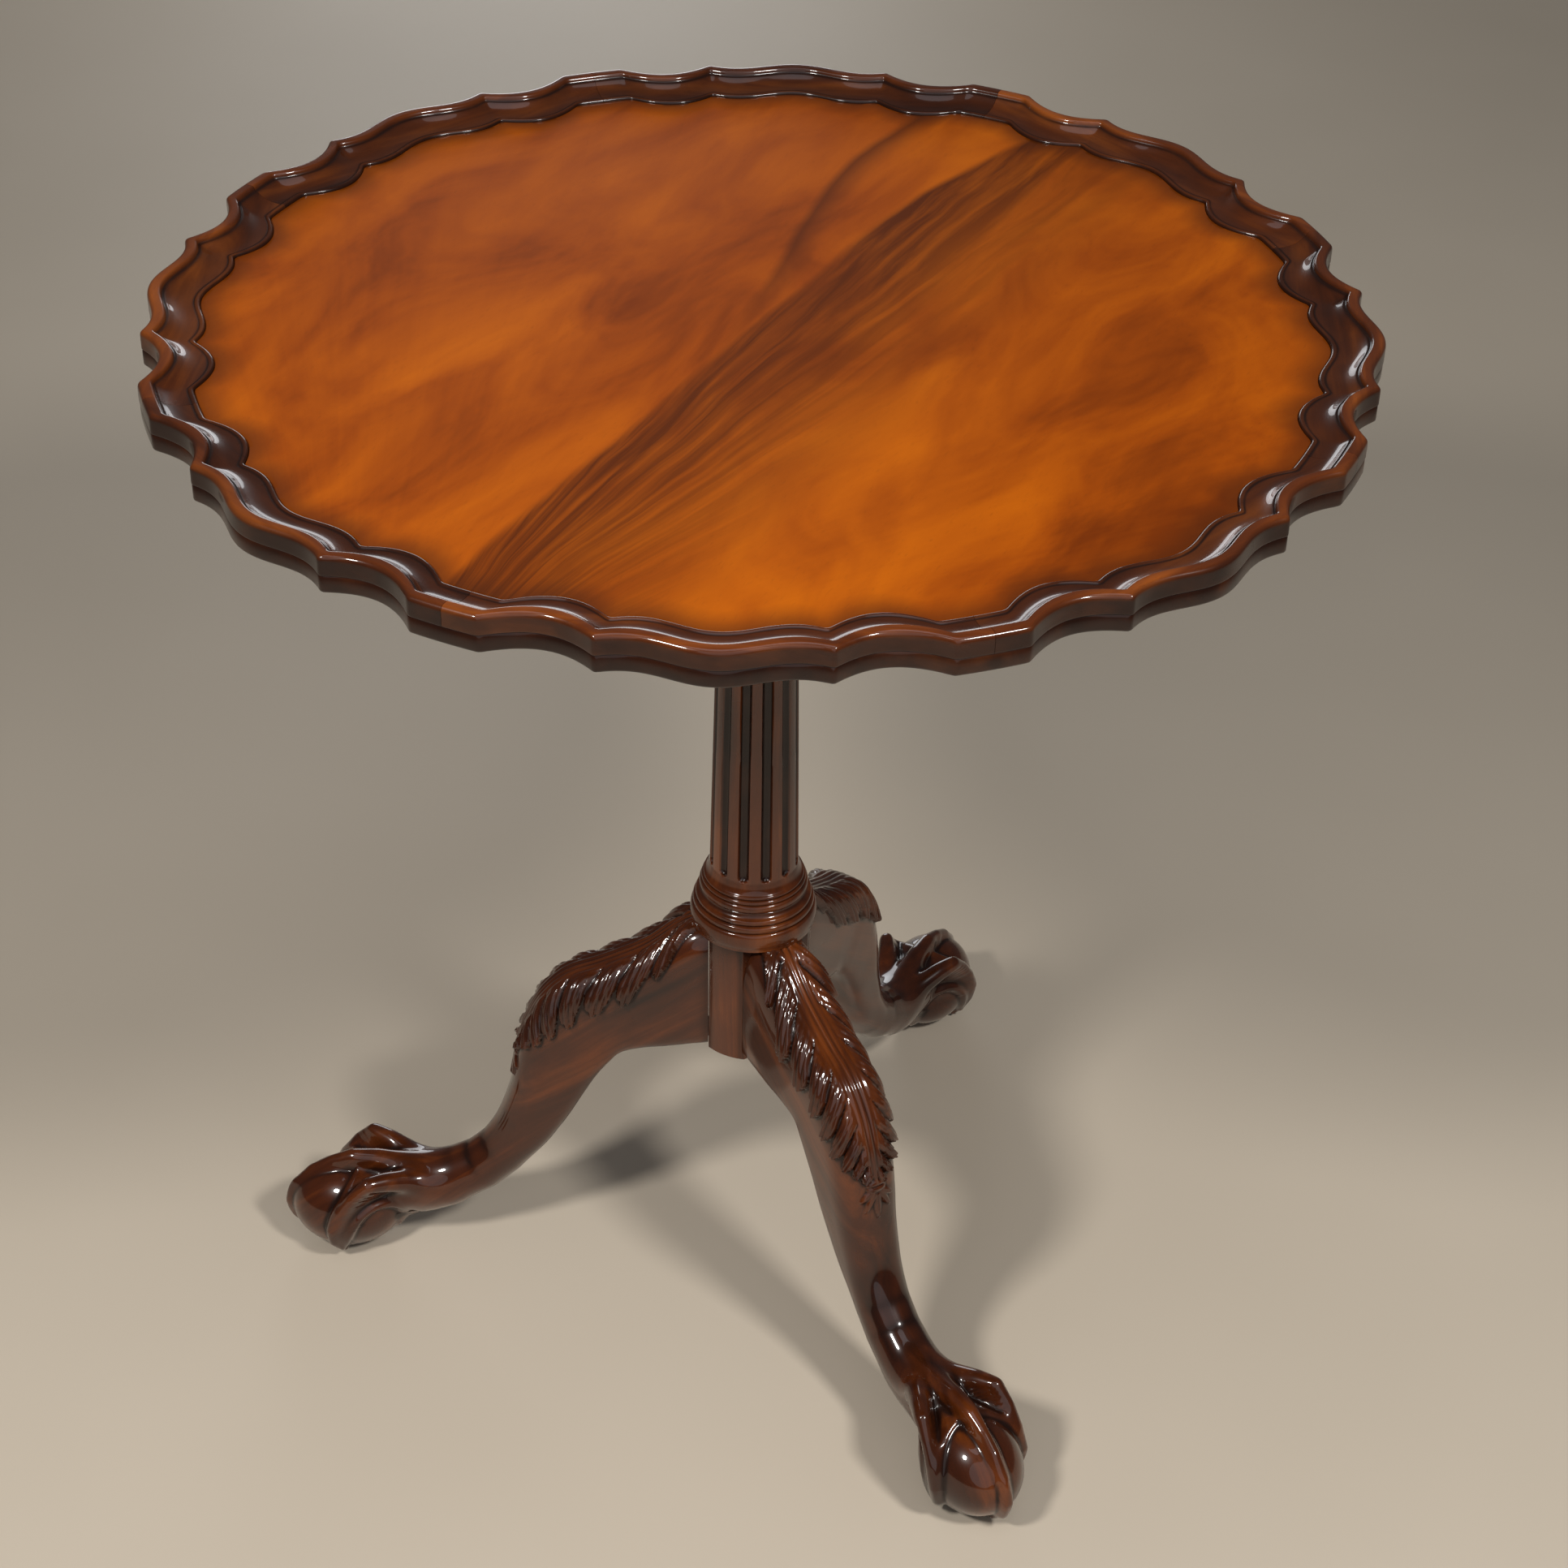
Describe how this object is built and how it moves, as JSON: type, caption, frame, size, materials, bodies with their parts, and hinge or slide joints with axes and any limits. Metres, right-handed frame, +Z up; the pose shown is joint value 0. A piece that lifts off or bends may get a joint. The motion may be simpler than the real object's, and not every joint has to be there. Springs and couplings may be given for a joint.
{
  "type": "tilt top tea table",
  "caption": "Round pie-crust top on a tilt block over a fluted column, with carved cabriole legs and ball-and-claw feet.",
  "frame": {"origin": "on the floor, under the column's axis", "axes": "+Z up; +Y towards the single back leg; the top tips about an axis along X, so that its face ends up facing -Y"},
  "size_m": [0.72, 0.72, 0.737],
  "materials": {
    "dark_mahogany": "high gloss lacquer over red-brown mahogany, toned darker in the hollows",
    "field_mahogany": "high gloss lacquer over crotch mahogany veneer",
    "plain_wood": "satin, lightly sealed",
    "brass": "brushed, lightly aged",
    "black_iron": "blackened",
    "spring_steel": "bright wire"
  },
  "bodies": {
    "base": {"column": "dark_mahogany", "tenon_wedge_1": "plain_wood", "tenon_wedge_2": "plain_wood", "leg_back": "dark_mahogany", "leg_left": "dark_mahogany", "leg_right": "dark_mahogany", "brace_plate": "black_iron", "brace_screw_1": "black_iron", "brace_screw_2": "black_iron", "brace_screw_3": "black_iron", "brace_screw_4": "black_iron", "brace_screw_5": "black_iron", "brace_screw_6": "black_iron", "tilt_block": "plain_wood", "pivot_pin_left": "black_iron", "pivot_pin_right": "black_iron", "strike_plate": "brass", "strike_screw_1": "brass", "strike_screw_2": "brass"},
    "top": {"top_board": "dark_mahogany", "field_panel": "field_mahogany", "rim_segment_1": "dark_mahogany", "rim_segment_2": "dark_mahogany", "rim_segment_3": "dark_mahogany", "rim_segment_4": "dark_mahogany", "rim_segment_5": "dark_mahogany", "rim_segment_6": "dark_mahogany", "rim_segment_7": "dark_mahogany", "rim_segment_8": "dark_mahogany", "cleat_left": "plain_wood", "cleat_right": "plain_wood", "cleat_screw_1": "black_iron", "cleat_screw_2": "black_iron", "cleat_screw_3": "black_iron", "cleat_screw_4": "black_iron", "cleat_screw_5": "black_iron", "cleat_screw_6": "black_iron", "latch_case": "brass", "latch_spring": "spring_steel", "latch_screw_1": "brass", "latch_screw_2": "brass", "latch_screw_3": "brass", "latch_screw_4": "brass"},
    "catch_bolt": {"latch_bolt": "brass", "latch_knob": "brass"}
  },
  "joints": [
    {"name": "top_tilt", "type": "hinge", "parent": "base", "child": "top", "pos_m": [0, -0.0763, 0.7005], "axis": [1, 0, 0], "range_deg": [0, 90]},
    {"name": "latch_slide", "type": "slide", "parent": "top", "child": "catch_bolt", "axis": [0, 1, 0], "range_m": [-0.008, 0], "stiffness_N_per_m": 150, "springref_m": -0.012, "deforming": ["latch_spring"]}
  ]
}
